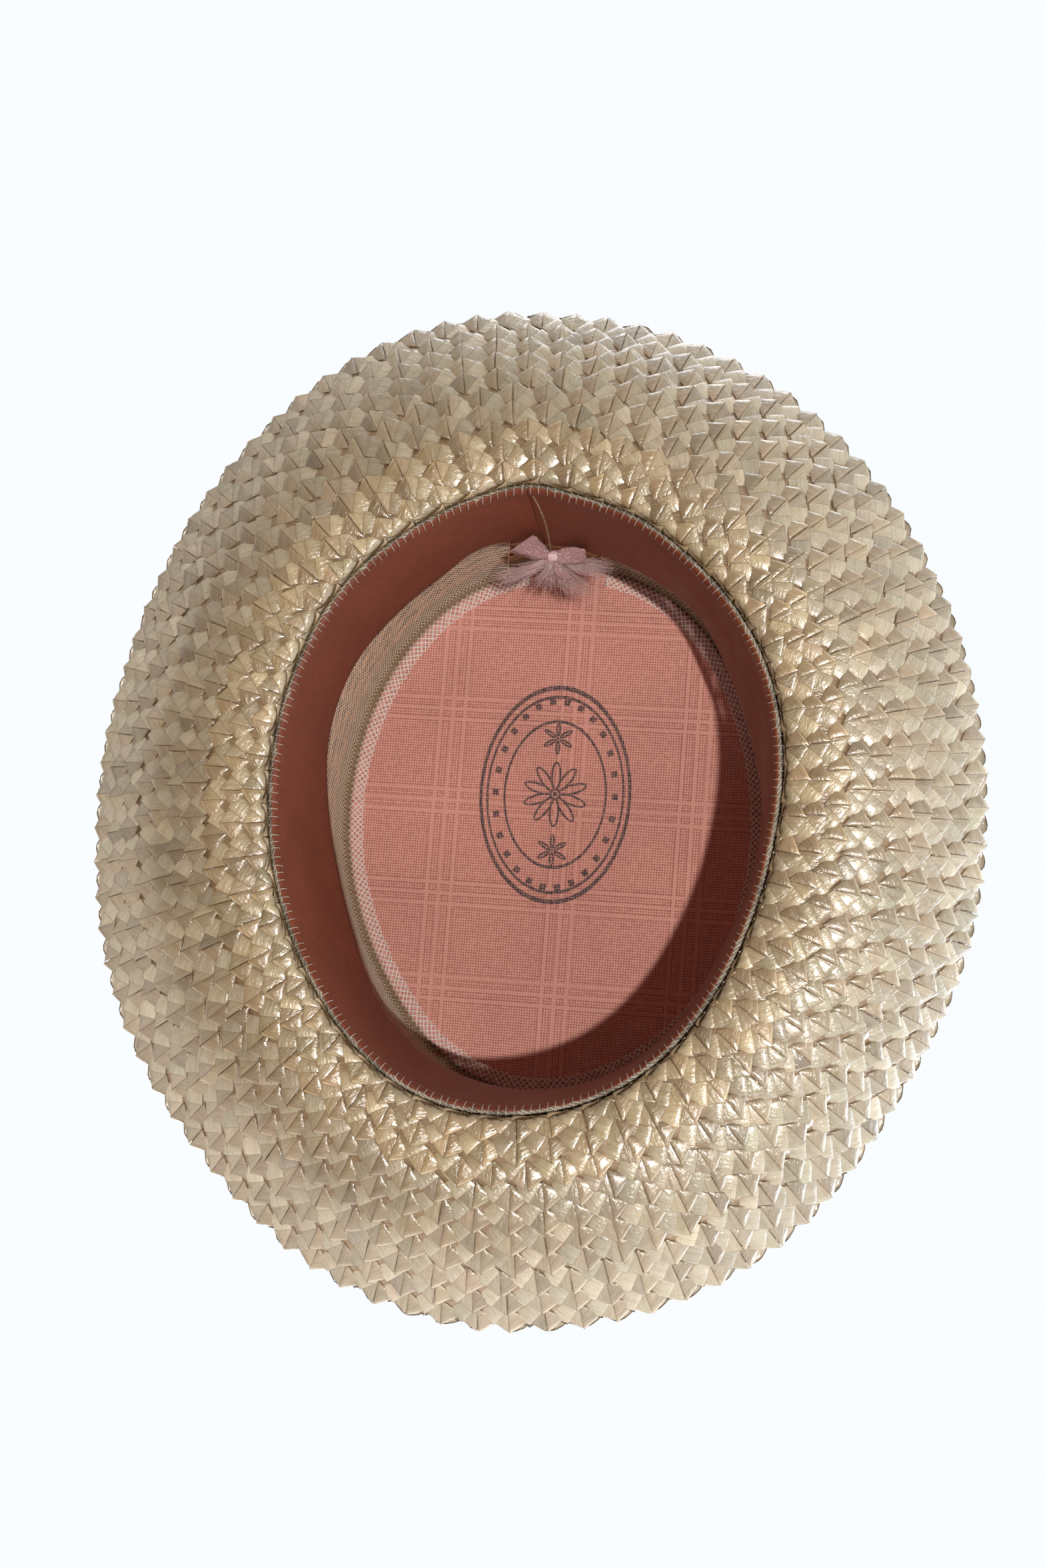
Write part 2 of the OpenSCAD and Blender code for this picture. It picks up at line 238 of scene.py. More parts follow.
def grid_faces(rows, cols, wrap=False, close=False):
    """Quads of a grid of points. wrap joins the last column to the first, and close
    the last row to the first."""
    i, j = np.meshgrid(
        np.arange(rows if close else rows - 1),
        np.arange(cols if wrap else cols - 1),
        indexing="ij",
    )
    below, right = (i + 1) % rows, (j + 1) % cols
    quad = [i * cols + j, i * cols + right, below * cols + right, below * cols + j]
    return np.stack(quad, -1).reshape(-1, 4)


def unit(vectors):
    return vectors / np.maximum(np.linalg.norm(vectors, axis=-1, keepdims=True), 1e-12)


def shell(grid, thick, wrap=False):
    """A closed thin solid half of thick either side of a grid of points."""
    rows, cols = grid.shape[:2]
    across = np.gradient(grid, axis=0)
    along = np.gradient(grid, axis=1)
    if wrap:
        along = np.roll(grid, -1, 1) - np.roll(grid, 1, 1)
    normal = unit(np.cross(along, across)) * thick / 2
    points = np.concatenate([(grid + normal).reshape(-1, 3), (grid - normal).reshape(-1, 3)])
    count = rows * cols
    index = np.arange(count).reshape(rows, cols)
    face = grid_faces(rows, cols, wrap)

    def wall(a, b):
        return np.stack([a, b, b + count, a + count], -1)

    first, last = index[0], index[-1]
    if wrap:
        walls = [wall(np.roll(first, -1), first), wall(last, np.roll(last, -1))]
    else:
        walls = [
            wall(first[1:], first[:-1]),
            wall(last[:-1], last[1:]),
            wall(index[:-1, 0], index[1:, 0]),
            wall(index[1:, -1], index[:-1, -1]),
        ]
    return points, np.concatenate([face, face[:, ::-1] + count, *walls])


def tubes(paths, radius, sides=4, ref=(0, 0, 1)):
    """Round threads along paths of shape (count, points, 3), drawn in at both ends."""
    paths = np.asarray(paths, dtype=float)
    count, steps, _ = paths.shape
    along = unit(np.gradient(paths, axis=1))
    side = unit(np.cross(along, np.broadcast_to(ref, along.shape)))
    up = np.cross(side, along)
    turn = np.arange(sides)[:, None] * 2 * np.pi / sides
    ring = side[:, :, None] * np.cos(turn) + up[:, :, None] * np.sin(turn)
    size = np.broadcast_to(radius, (count, steps)).copy()
    size[:, [0, -1]] *= 0.15
    points = paths[:, :, None] + ring * size[..., None, None]
    faces = grid_faces(steps, sides, wrap=True)[:, ::-1]
    start = np.arange(count)[:, None, None] * steps * sides
    return points.reshape(-1, 3), (faces[None] + start).reshape(-1, 4)


# -------- node helpers


class Nodes:
    """Short calls for the nodes of one tree. Kinds leave out ShaderNode."""

    def __init__(self, tree):
        self.tree = tree

    def add(self, kind, links=(), **settings):
        node = self.tree.nodes.new("ShaderNode" + kind)
        for key, value in settings.items():
            setattr(node, key, value)
        for key, value in dict(links).items():
            self.feed(node.inputs[key], value)
        return node

    def feed(self, socket, value):
        if isinstance(value, bpy.types.NodeSocket):
            self.tree.links.new(value, socket)
        else:
            socket.default_value = value

    def math(self, operation, *values, clamp=False):
        node = self.add("Math", operation=operation, use_clamp=clamp)
        for socket, value in zip(node.inputs, values):
            self.feed(socket, value)
        return node.outputs[0]

    def noise(self, vector, scale, detail=2.0, rough=0.5):
        links = {"Vector": vector, "Scale": scale, "Detail": detail, "Roughness": rough}
        return self.add("TexNoise", links).outputs["Fac"]

    def stretch(self, vector, scale, turn=0.0):
        links = {"Vector": vector, "Scale": scale, "Rotation": (0, 0, turn)}
        return self.add("Mapping", links).outputs[0]

    def coords(self, kind="Object"):
        return self.add("TexCoord").outputs[kind]

    def map(self, name):
        return self.add("UVMap", uv_map=name).outputs[0]

    def split(self, vector):
        """The X, Y and Z sockets of a vector."""
        return self.add("SeparateXYZ", {0: vector}).outputs

    def cells(self, vector, scale):
        """Distance to the nearest of many scattered points."""
        node = self.add("TexVoronoi", {"Vector": vector, "Scale": scale})
        return node.outputs["Distance"]

    def ramp(self, value, *stops):
        node = self.add("ValToRGB", {"Fac": value})
        elements = node.color_ramp.elements
        while len(elements) < len(stops):
            elements.new(0.5)
        for element, (place_at, colour) in zip(elements, stops):
            element.position = place_at
            element.color = (*colour, 1)
        return node.outputs["Color"]

    def mix(self, factor, a, b, blend="MIX"):
        node = self.add("Mix", data_type="RGBA", blend_type=blend)
        sockets = [s for s in node.inputs if s.enabled]
        for socket, value in zip(sockets, (factor, a, b)):
            self.feed(socket, value)
        return [s for s in node.outputs if s.enabled][0]

    def tint(self, colour, value, *stops):
        """colour times a ramp over value."""
        return self.mix(1.0, colour, self.ramp(value, *stops), "MULTIPLY")

    def remap(self, value, low, high, to_low=0.0, to_high=1.0):
        links = {"Value": value, "From Min": low, "From Max": high}
        links |= {"To Min": to_low, "To Max": to_high}
        return self.add("MapRange", links).outputs[0]

    def bump(self, height, strength, distance_mm, normal=None):
        links = {"Height": height, "Strength": strength, "Distance": distance_mm * MM}
        if normal is not None:
            links["Normal"] = normal
        return self.add("Bump", links).outputs[0]


class Shader(Nodes):
    """The nodes of one material. Sockets of its surface are named with underscores."""

    def __init__(self, name, **sockets):
        self.material = bpy.data.materials.new(name)
        self.material.use_nodes = True
        super().__init__(self.material.node_tree)
        self.bsdf = self.tree.nodes["Principled BSDF"]
        self.set(**sockets)

    def set(self, **sockets):
        for socket, value in sockets.items():
            self.feed(self.bsdf.inputs[socket.replace("_", " ")], value)
        return self.material


def grey(value):
    return (value, value, value)


# -------- materials


def straw_material():
    """Flattened straw: a tone per strand, faint grain along the fibre, painted shade in the seams
    and on the strands' sides, painted highlights on the fold and along the teeth's outer edges, and
    a silky gloss."""
    s = Shader("straw", Specular_IOR_Level=1.0, Coat_Weight=0.8, Coat_Roughness=0.14)
    fibre = s.map("fibre")
    edge = s.split(s.map("edge"))
    tone = s.add("Attribute", attribute_name="tone").outputs["Color"]
    grain = s.noise(s.stretch(fibre, (0.12, 1.8, 1)), 1.0, 3.0, 0.6)
    fine = s.noise(s.stretch(fibre, (0.3, 7.0, 1)), 1.0, 2.0, 0.6)
    streak = s.noise(s.stretch(fibre, (0.05, 0.5, 1)), 1.0, 2.0)
    blotch = s.noise(s.coords(), 180.0, 2.0)
    colour = tone
    for value, low, high in (
        (grain, (0.9, 0.885, 0.86), grey(1.04)),
        (fine, grey(0.95), grey(1.03)),
        (streak, (0.92, 0.89, 0.85), grey(1.02)),
        (blotch, (0.94, 0.92, 0.89), grey(1.03)),
    ):
        colour = s.tint(colour, value, (0.34, low), (0.62, high))
    # Painted shade right at each strand's edge and on its sides; painted highlight a little inside
    # the edge where the straw folds
    colour = s.tint(
        colour,
        edge["X"],
        (0.0, (0.44, 0.36, 0.28)),
        (0.12, (0.75, 0.68, 0.6)),
        (0.32, grey(1.08)),
        (0.85, grey(1.0)),
    )
    # Painted glint: a cool white highlight along the outer edge of the teeth that have a rim
    colour = s.tint(
        colour,
        edge["Y"],
        (0.0, grey(1.0)),
        (0.16, (1.7, 1.8, 1.92)),
        (0.4, (1.5, 1.58, 1.66)),
        (0.8, grey(1.0)),
    )
    rough = s.remap(streak, 0.3, 0.7, 0.22, 0.4)
    crease = s.noise(s.stretch(fibre, (0.5, 1.0, 1)), 1.0, 2.0)
    normal = s.bump(crease, 0.5, 0.6)
    normal = s.bump(grain, 0.2, 0.22, normal)
    return s.set(Base_Color=colour, Roughness=rough, Normal=normal)


def leather_material():
    s = Shader("leather", Specular_IOR_Level=0.32)
    coords = s.coords()
    patch = s.noise(coords, 45.0, 4.0, 0.6)
    fine = s.noise(coords, 420.0, 3.0, 0.6)
    pores = s.cells(coords, 1300.0)
    colour = s.ramp(patch, (0.3, (0.15, 0.036, 0.016)), (0.7, (0.215, 0.055, 0.025)))
    # Painted light: towards -X the band is mixed to a lighter brown for light falling on that side
    lit_side = s.math("MULTIPLY", s.remap(s.split(coords)["X"], -0.06, -0.08), 0.45)
    colour = s.mix(lit_side, colour, (0.34, 0.115, 0.05, 1))
    colour = s.tint(colour, fine, (0.3, grey(0.86)), (0.7, grey(1.08)))
    scuff = s.remap(s.noise(s.stretch(coords, (1, 1, 0.3)), 260.0, 4.0, 0.7), 0.68, 0.8)
    colour = s.mix(s.math("MULTIPLY", scuff, 0.35), colour, (0.4, 0.2, 0.14, 1))
    rough = s.remap(patch, 0.3, 0.7, 0.42, 0.58)
    normal = s.bump(fine, 0.25, 0.25, s.bump(pores, 0.2, 0.15))
    return s.set(Base_Color=colour, Roughness=rough, Normal=normal)


def twisted_material(name, low, high, pitch_mm=1.1):
    """Cotton cord or thread: fibres wound round the run of the fibre map."""
    s = Shader(name, Roughness=0.8)
    fibre = s.map("fibre")
    ply = {"Vector": s.stretch(fibre, (1 / pitch_mm, 1.6, 1)), "Scale": 0.32, "Distortion": 1.5}
    wave = s.add("TexWave", ply, bands_direction="DIAGONAL").outputs["Fac"]
    fuzz = s.noise(s.coords(), 2600.0, 2.0)
    shade = s.math("MULTIPLY_ADD", fuzz, 0.5, s.math("MULTIPLY", wave, 0.5))
    colour = s.ramp(shade, (0.25, low), (0.75, high))
    # Random darker patches along the cord
    dark_patches = s.noise(s.coords(), 55.0, 3.0, 0.7)
    colour = s.tint(colour, dark_patches, (0.42, grey(0.45)), (0.56, grey(1.0)))
    return s.set(Base_Color=colour, Normal=s.bump(shade, 0.7, 0.2))


def thread_material(name, low, high, rough=0.7):
    """Fine thread, spotted with lighter and darker fibres."""
    s = Shader(name, Roughness=rough, Specular_IOR_Level=0.4)
    spots = s.noise(s.coords(), 1500.0, 2.0)
    wide = s.noise(s.coords(), 90.0, 2.0)
    shade = s.math("MULTIPLY_ADD", spots, 0.6, s.math("MULTIPLY", wide, 0.4))
    colour = s.ramp(shade, (0.3, low), (0.7, high))
    return s.set(Base_Color=colour, Normal=s.bump(spots, 0.3, 0.05))


def weave_height(s, x, y, pitch):
    """Height from 0 to 1 of a plain weave of one pitch, with open holes between threads."""
    half = math.pi / (pitch * MM)
    wave_x = s.math("SINE", s.math("MULTIPLY", x, half))
    wave_y = s.math("SINE", s.math("MULTIPLY", y, half))
    over = s.math("MULTIPLY", s.math("MULTIPLY", wave_x, wave_y), 0.35)
    warp = s.math("MULTIPLY", s.math("ABSOLUTE", wave_x), s.math("ADD", 0.7, over))
    weft = s.math("MULTIPLY", s.math("ABSOLUTE", wave_y), s.math("SUBTRACT", 0.7, over))
    return s.math("MAXIMUM", warp, weft)


def rib_group(s, place_at, centre, period, spacing):
    """Distance in metres to the nearest of three smooth ribs that repeat in groups."""
    shifted = s.math("SUBTRACT", place_at, (centre - period / 2) * MM)
    within = s.math("SUBTRACT", s.math("FLOORED_MODULO", shifted, period * MM), period / 2 * MM)
    off = s.math("ABSOLUTE", within)
    outer = s.math("ABSOLUTE", s.math("SUBTRACT", off, spacing * MM))
    return s.math("MINIMUM", off, outer)


def turned_plan(s, turn):
    """Plan coordinates turned by an angle in radians."""
    plan = s.split(s.stretch(s.coords(), (1, 1, 1), turn))
    return plan["X"], plan["Y"]


WEAVE_PITCH = 0.98
WEAVE_TURN = math.radians(-3)
# Centre of one group of three ribs, distance between groups, and between ribs
RIBS_ACROSS = (-4.5, 46.2, 4.7)
RIBS_ALONG = (6.4, 34.9, 4.1)


def cotton_colour(s):
    """Colour and height of the salmon cotton with its raised windowpane ribs."""
    x, y = turned_plan(s, WEAVE_TURN)
    weave = weave_height(s, x, y, WEAVE_PITCH)
    rib = s.math("MINIMUM", rib_group(s, x, *RIBS_ACROSS), rib_group(s, y, *RIBS_ALONG))
    ribs = s.remap(rib, 0.85 * MM, 0.5 * MM)
    # Nearness to the line just beside each rib, where painted shade goes
    groove_shade = s.remap(s.math("ABSOLUTE", s.math("SUBTRACT", rib, 1.05 * MM)), 0.4 * MM, 0.1 * MM)
    wander = s.noise(s.coords(), 700.0, 2.0)
    weave = s.math("MULTIPLY_ADD", s.math("SUBTRACT", wander, 0.5), 0.5, weave)
    cloth = s.ramp(
        weave, (0.3, (0.40, 0.145, 0.11)), (0.6, (0.66, 0.305, 0.25)), (0.95, (0.86, 0.46, 0.40))
    )
    # The ribs' colour: lighter for their smoother twill and in part as a painted sheen
    twill = s.math("SINE", s.math("MULTIPLY", s.math("ADD", x, y), 4200.0))
    smooth = s.ramp(twill, (0.2, (0.68, 0.32, 0.265)), (0.8, (0.80, 0.43, 0.37)))
    colour = s.mix(s.math("MULTIPLY", ribs, 0.75), cloth, smooth)
    # Painted shade: a dark line beside each rib
    colour = s.mix(s.math("MULTIPLY", groove_shade, 0.32), colour, (0.42, 0.15, 0.11, 1))
    wide = s.noise(s.coords(), 28.0, 3.0)
    colour = s.tint(colour, wide, (0.3, grey(0.92)), (0.7, grey(1.05)))
    flat = s.math("MULTIPLY", weave, s.math("SUBTRACT", 1.0, s.math("MULTIPLY", ribs, 0.85)))
    return colour, weave, flat, ribs


def cotton_material():
    s = Shader("cotton", Roughness=0.75, Specular_IOR_Level=0.3, Sheen_Weight=0.15)
    colour, _, flat, ribs = cotton_colour(s)
    normal = s.bump(flat, 0.7, 0.35, s.bump(ribs, 1.0, 0.45))
    return s.set(Base_Color=colour, Normal=normal)


def ink_material():
    """Printing ink, thin where the threads of the cotton stand up."""
    s = Shader("ink", Roughness=0.7)
    colour, weave, flat, _ = cotton_colour(s)
    worn = s.noise(s.coords(), 900.0, 3.0, 0.7)
    cover = s.remap(s.math("MULTIPLY_ADD", weave, 0.35, worn), 0.62, 0.95, 0.0, 0.55)
    ink = s.mix(cover, (0.035, 0.028, 0.035, 1), colour)
    return s.set(Base_Color=ink, Normal=s.bump(flat, 0.4, 0.2))


def satin_material():
    """Dusty pink satin ribbon with a fine pebbled weave and near-white painted glints on the
    pebbles.
    """
    s = Shader("satin", Specular_IOR_Level=0.7, Sheen_Weight=0.3)
    fibre = s.map("fibre")
    pebble = s.cells(s.stretch(fibre, (1.1, 1.3, 1)), 1.0)
    wide = s.noise(fibre, 0.4, 2.0)
    # Painted glints: near-white at the pebbles' centres, dusty pink elsewhere
    colour = s.ramp(
        s.math("MULTIPLY_ADD", wide, 0.4, s.math("MULTIPLY", pebble, 0.8)),
        (0.22, (0.97, 0.92, 0.93)),
        (0.45, (0.46, 0.26, 0.27)),
    )
    rough = s.remap(wide, 0.3, 0.7, 0.22, 0.4)
    return s.set(Base_Color=colour, Roughness=rough, Normal=s.bump(pebble, 0.9, 0.35))


def grosgrain_material():
    """Ribbed ribbon: the ribs cross the band."""
    s = Shader("grosgrain", Specular_IOR_Level=0.45, Sheen_Weight=0.25)
    fibre = s.map("fibre")
    ribs = {"Vector": s.stretch(fibre, (1.1, 1, 1)), "Scale": 0.32}
    wave = s.add("TexWave", ribs).outputs["Fac"]
    fine = s.noise(s.stretch(fibre, (6, 1.5, 1)), 1.0, 2.0)
    shade = s.math("MULTIPLY_ADD", fine, 0.35, s.math("MULTIPLY", wave, 0.6))
    colour = s.ramp(shade, (0.15, (0.07, 0.022, 0.016)), (0.8, (0.19, 0.062, 0.042)))
    return s.set(Base_Color=colour, Roughness=0.5, Normal=s.bump(shade, 0.8, 0.3))


STRAW = straw_material()
LEATHER = leather_material()
REED_CORD = twisted_material("reed_cord", (0.15, 0.115, 0.08), (0.5, 0.44, 0.35))
STITCH = thread_material("stitch_thread", (0.3, 0.26, 0.21), (0.58, 0.53, 0.45))
NET_SIDE = thread_material("net_side", (0.78, 0.68, 0.54), (0.95, 0.87, 0.76))
NET_RIM = thread_material("net_rim", (0.88, 0.85, 0.82), (0.98, 0.97, 0.96))
COTTON = cotton_material()
INK = ink_material()
SATIN = satin_material()
FRAY = thread_material("satin_fray", (0.62, 0.38, 0.38), (0.95, 0.78, 0.78), 0.3)
THREAD_TAN = thread_material("thread_tan", (0.22, 0.15, 0.08), (0.5, 0.38, 0.24))
GROSGRAIN = grosgrain_material()

# -------- the braid

# One unit of the braid seen square on: u runs along the row, v points to the braid
# point at (0, 0), and the third number is the height of the strand's face. Corners go
# round from the first, with p from corner 0 to 1 and q from corner 0 to 3.
TOOTH_LEFT = ((0, 0, 1.3), (-5.9, -4.0, 0.4), (-5.6, -5.4, 0.35), (0.05, -9.4, 1.1))
TOOTH_RIGHT = ((0, -0.1, 0.95), (5.9, -4.1, 0.3), (5.6, -5.5, 0.3), (0.05, -9.3, 0.6))
CROSS_STRAND = ((5.1, -2.9, 0.92), (10.3, -6.8, 0.12), (5.2, -12.6, 0.1), (0.1, -8.6, 0.82))
BACK_STRAND = ((0.2, 0.75, 0.3), (5.6, -3.0, 0.2), (5.4, -4.6, 0.2), (0.2, -1.0, 0.3))

# Corners, pillow height, drop of the folded edges, arch of the outer edge, whether its outer edge
# gets a painted highlight rim, share of the units that show it, direction of its fibres, mean tone
# and its spread
STRANDS = (
    (TOOTH_LEFT, 0.20, 0.26, 0.12, 1, 1.0, (5.5, 4.0), (0.29, 0.222, 0.146), 0.12),
    (TOOTH_RIGHT, 0.12, 0.12, 0.12, 0, 1.0, (0.05, 1.0), (0.335, 0.272, 0.19), 0.11),
    (CROSS_STRAND, 0.50, 0.14, 0.0, 0, 1.0, (5.0, -3.8), (0.395, 0.335, 0.245), 0.11),
    (BACK_STRAND, 0.08, 0.10, 0.2, 1, 0.35, (5.0, -3.6), (0.35, 0.29, 0.21), 0.07),
)
CORE_TONE = (0.27, 0.18, 0.10)
CORE_T = 0.5
CORE_INSET = 5.0  # the core starts this far in from the brim's edge, behind the teeth
FINE_STEPS = (0, 0.06, 0.3, 0.7, 0.94, 1)
STRAND_T = 0.34
STRAND_W = 6  # rough width of a strand, for the distances of the edge map
CORNER_JITTER = (0.2, 0.2, 0.05)
FOLD_SHARE = 0.1  # share of a strand over which its folded edge drops
SWAY = 0.08
# How far each row's points sit past those of the row outside it, in points
ROW_SHIFTS = (0.1, -0.4, 0.1, 0.07, 0.1, 0.55, 0.0, 0.45, 0.3, 0.05)


def strand_faces(corners, rng, count, bulge, fold, arch, painted_rim):
    """Many copies of one strand face. Returns points as (count, n, 3) in u, v and height,
    the quads of one copy, and each point's distance from any edge and the outer edge."""
    n = len(FINE_STEPS)
    p, q = (axis.ravel() for axis in np.meshgrid(FINE_STEPS, FINE_STEPS, indexing="ij"))
    weights = np.stack([(1 - p) * (1 - q), p * (1 - q), p * q, (1 - p) * q])
    base = np.array(corners)[None] + rng.normal(0, 1, (count, 4, 3)) * CORNER_JITTER
    points = np.einsum("ck,ncx->nkx", weights, base)
    pillow = np.sin(np.pi * p) * (0.45 + 0.55 * np.sin(np.pi * q))
    edge = (1 - np.clip(np.minimum.reduce([p, q, 1 - q]) / FOLD_SHARE, 0, 1)) ** 2
    wave = rng.normal(0, SWAY, (count, 4))
    sway = wave[:, :1] * np.sin(2.5 * p * np.pi) + wave[:, 1:2] * np.cos(3 * q * np.pi)
    sway += wave[:, 2:3] * np.sin(4 * np.pi * (p + q)) + wave[:, 3:] * np.cos(2.5 * np.pi * (p - q))
    points[..., 2] += bulge * pillow - fold * edge + sway * np.sin(np.pi * p) * np.sin(np.pi * q)
    points[..., 1] += arch * np.sin(np.pi * p ** 0.8) * (1 - q)
    inside = STRAND_W * np.minimum.reduce([p, 1 - p, q, 1 - q])
    # Distance from the outer edge, where the straw colour paints a highlight rim
    outer = STRAND_W * q if painted_rim else 0 * q
    border = [i * n for i in range(n)] + [(n - 1) * n + j for j in range(1, n)]
    border += [i * n + n - 1 for i in range(n - 2, -1, -1)] + list(range(n - 2, 0, -1))
    low = points[:, border] - (0, 0, STRAND_T)
    points = np.concatenate([points, points[:, border], low], 1)
    m = len(border)
    top = n * n + np.arange(m)
    following = n * n + (np.arange(m) + 1) % m
    skirt = np.stack([top, following, following + m, top + m], -1)[:, ::-1]
    faces = np.concatenate([grid_faces(n, n), skirt])
    reach = np.concatenate([np.stack([inside, outer], -1), np.zeros((2 * m, 2))])
    along, down = np.array(corners[1]) - corners[0], np.array(corners[3]) - corners[0]
    if down[0] * along[1] - down[1] * along[0] < 0:
        faces = faces[:, ::-1]
    return points, faces, reach


def fibre_map(points, along):
    """Place of each point along and across the fibre direction, in millimetres."""
    along = np.array(along) / np.linalg.norm(along)
    across = np.array((-along[1], along[0]))
    return np.stack([points[..., :2] @ along, points[..., :2] @ across], -1)


class BraidMesh:
    """Collects strand faces for one piece."""

    def __init__(self):
        self.points, self.faces, self.fibre, self.edge, self.tones = [], [], [], [], []
        self.total = 0

    def add(self, points, faces, fibre, reach, tones):
        """points (n, k, 3), faces of one copy, fibre (n, k, 2), reach (k, 2), tones (n, 3)."""
        copies, size = points.shape[:2]
        if not copies:
            return
        start = self.total + np.arange(copies)[:, None, None] * size
        self.points.append(points.reshape(-1, 3))
        self.faces.append((faces[None] + start).reshape(-1, 4))
        self.fibre.append(fibre.reshape(-1, 2))
        self.edge.append(np.tile(reach, (copies, 1)))
        tone = np.concatenate([tones, np.ones((copies, 1))], 1)
        self.tones.append(np.repeat(tone, len(faces), 0))
        self.total += copies * size

    def build(self, name, nodes):
        maps = {"fibre": np.concatenate(self.fibre), "edge": np.concatenate(self.edge)}
        points, faces, tones = map(np.concatenate, (self.points, self.faces, self.tones))
        add_piece(name, nodes, points, faces, STRAW, maps, tones)


SUNNY = (1.06, 1.02, 0.93)  # the rows round the opening are a little yellower
THROUGH_LIGHT_GLOW = (1.9, 1.2, 0.72)  # painted glow: the inside of the crown is tinted orange for light coming through the straw


def row_phase(k):
    return sum(ROW_SHIFTS[i % len(ROW_SHIFTS)] for i in range(k + 1))


def add_row(mesh, tip_s, side, rng, phase, outward=None, tint=(1, 1, 1)):
    """One row of braid units. side is 1 for the underside and inside, whose points
    face out to the brim's edge, and -1 for the other side, whose points face in."""
    outward = side if outward is None else outward
    offset = float(MERIDIAN.at(np.array(tip_s + outward * 0.5 * ROW))[0])
    ring = Oval(offset)
    count = max(3, round(ring.length / POINT))
    pitch = ring.length / count
    runs = (np.arange(count) + phase) * pitch + rng.normal(0, 0.35, count)
    tips = tip_s + rng.normal(0, 0.22, count)
    for corners, bulge, fold, arch, painted_rim, share, along, mean, spread in STRANDS:
        points, faces, reach = strand_faces(corners, rng, count, bulge, fold, arch, painted_rim)
        light = 1 + rng.normal(0, spread, (count, 1))
        tones = np.array(mean) * tint * light * (1 + rng.normal(0, 0.012, (count, 3)))
        fibre = fibre_map(points, along) + rng.uniform(0, 400, (count, 1, 2))
        u, v, h = points[..., 0] * pitch / POINT, points[..., 1], points[..., 2]
        lift = h + SHINGLE * (1 + v / ROW)
        placed = place(tips[:, None] - outward * v, runs[:, None] + u, ring, side * lift)
        keep = rng.random(count) < share
        if side * outward < 0:
            faces = faces[:, ::-1]
        mesh.add(placed[keep], faces, fibre[keep], reach, tones[keep])


def add_core(mesh, s0, s1):
    """The dark inner layer of the braid, a closed strip between two rows."""
    n_run, n_s = 180, max(3, round((s1 - s0) / 4) + 1)
    s = np.repeat(np.linspace(s0, s1, n_s)[:, None], n_run, 1)
    turn = np.tile(np.linspace(0, 2 * np.pi, n_run, endpoint=False), (n_s, 1))
    grid, _ = on_braid(s, turn)
    points, faces = shell(grid, CORE_T, wrap=True)
    fibre = np.stack([points[:, 0] * 0.5, points[:, 2] + points[:, 1]], -1)
    reach = np.ones((len(points), 2))
    mesh.add(points[None], faces, fibre[None], reach, np.array([CORE_TONE]))


def braid_piece(name, rows, nodes, under=True, edge=False, tint=(1, 1, 1)):
    """Rows of braid as one piece: its inner side, its outer side and its core."""
    rng = np.random.default_rng(SEED + rows[0])
    mesh = BraidMesh()
    for k in rows:
        if under:
            add_row(mesh, k * ROW, 1, rng, row_phase(k), tint=tint)
        add_row(mesh, min(k * ROW + BRAID_W, MERIDIAN.end), -1, rng, row_phase(k) + 0.5)
    if edge:
        add_row(mesh, 0.3, -1, rng, row_phase(0) + 0.02, outward=1)
    core_start = rows[0] * ROW + (CORE_INSET if edge else 0)
    add_core(mesh, core_start, (rows[-1] + 1) * ROW if under else MERIDIAN.end)
    mesh.build(name, nodes)


MIDDLE_ROW, ROLL_ROW = 3, 7  # the first rows of the brim's middle and of the roll


def braid():
    last = math.ceil((MERIDIAN.end - BRAID_W) / ROW)  # its points meet in the tip's middle
    foot = math.ceil(MERIDIAN.foot_s / ROW)
    shoulder = math.floor(MERIDIAN.shoulder_s / ROW)
    half_wall = (foot + shoulder) // 2
    braid_piece("brim_braid_edge", range(MIDDLE_ROW), ["brim_edge_row"], edge=True)
    braid_piece("brim_braid_middle", range(MIDDLE_ROW, ROLL_ROW), ["brim_braid"])
    braid_piece("brim_braid_roll", range(ROLL_ROW, foot), ["rest_row", "roll_row"], tint=SUNNY)
    braid_piece("side_braid_lower", range(foot, half_wall), ["side_braid"], tint=THROUGH_LIGHT_GLOW)
    braid_piece("side_braid_upper", range(half_wall, shoulder), [], tint=THROUGH_LIGHT_GLOW)
    braid_piece("tip_braid_spiral", range(shoulder, last + 1), ["tip_braid"], under=False)


# -------- sweatband and its reed


def around(count=720, close=False):
    return np.linspace(0, 2 * np.pi, count, endpoint=close) + np.pi / 2


# How far the band's free edge leans in, in millimetres, every 15 degrees from +X
BAND_LEANS = (
    7.2, 3.8, 3.1, 5.0, 5.6, 2.8, 6.3, 7.0, 6.5, 4.9, 6.8, 6.5,
    4.6, 5.4, 6.9, 6.0, 5.0, 4.8, 5.2, 5.2, 4.5, 5.4, 8.6, 9.4,
)


def smooth_round(values, t):
    """A smooth curve through values that are spaced evenly round the oval."""
    values = np.array(values)
    at = np.mod(t, 2 * np.pi) / (2 * np.pi) * len(values)
    index = np.floor(at).astype(int)
    k = at - index
    before, here, after, later = (values[(index + i) % len(values)] for i in (-1, 0, 1, 2))
    rise, fall = (after - before) / 2, (later - here) / 2
    bend = (2 * here - 2 * after + rise + fall) * k ** 3
    return bend + (3 * after - 3 * here - 2 * rise - fall) * k ** 2 + rise * k + here


BAND_T = 0.9
BAND_FOOT = 3.6  # height where the band leaves the reed
BAND_BOW = 1.2  # above 1, the band leans mostly near its free edge
BACK_SEAM = 0.0012  # angle from the back to each of the band's ends
FOOT_AT = (0.9, 3.3)  # offset and height of the middle of the turn round the reed
FOOT_R = (1.5, 1.8)


